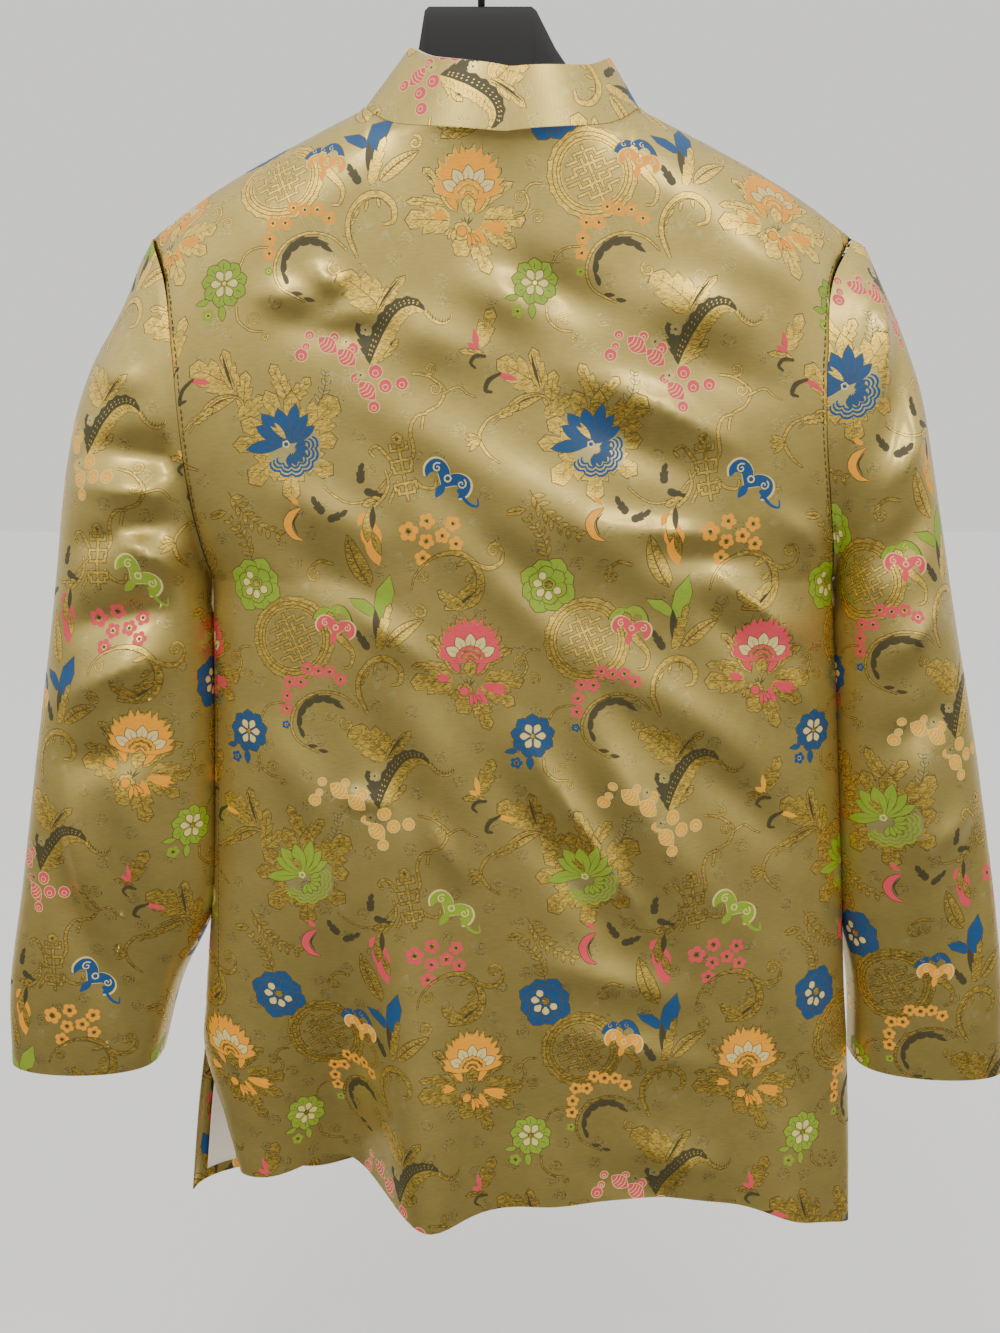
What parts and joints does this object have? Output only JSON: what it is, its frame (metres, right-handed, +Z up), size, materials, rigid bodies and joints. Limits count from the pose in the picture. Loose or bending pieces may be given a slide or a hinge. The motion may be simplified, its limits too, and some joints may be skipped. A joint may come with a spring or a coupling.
{
  "type": "tang jacket on a hanger",
  "caption": "Long-sleeved tang jacket with stand collar, side vents and frog closures in gold floral brocade, hanging on a black plastic hanger.",
  "frame": {"origin": "inside top of the hanger's hook, where a rail or wall hook holds it", "axes": "+Z up; the jacket's back faces -Y and its front opening faces +Y; the wearer's left is at -X"},
  "size_m": [0.7138, 0.1262, 0.8765],
  "materials": {
    "brocade": "gold silk satin damask with woven many-coloured flowers, satin sheen",
    "lining": "ivory satin lining",
    "frog": "rolled gold satin strip and knot",
    "hanger_plastic": "black moulded plastic",
    "hook_steel": "black enamelled wire"
  },
  "bodies": {
    "root": {"back": "brocade", "front_left": "brocade", "front_right": "brocade", "sleeve_left": "brocade", "sleeve_right": "brocade", "collar": "brocade", "lining_back": "lining", "lining_front_left": "lining", "lining_front_right": "lining", "collar_lining": "lining", "frog_left_1": "frog", "frog_right_1": "frog", "frog_left_2": "frog", "frog_right_2": "frog", "frog_left_3": "frog", "frog_right_3": "frog", "frog_left_4": "frog", "frog_right_4": "frog", "frog_left_5": "frog", "frog_right_5": "frog", "frog_left_6": "frog", "frog_right_6": "frog", "frog_left_7": "frog", "frog_right_7": "frog", "knot_1": "frog", "knot_2": "frog", "knot_3": "frog", "knot_4": "frog", "knot_5": "frog", "knot_6": "frog", "knot_7": "frog", "hanger": "hanger_plastic", "hook": "hook_steel"}
  },
  "joints": []
}
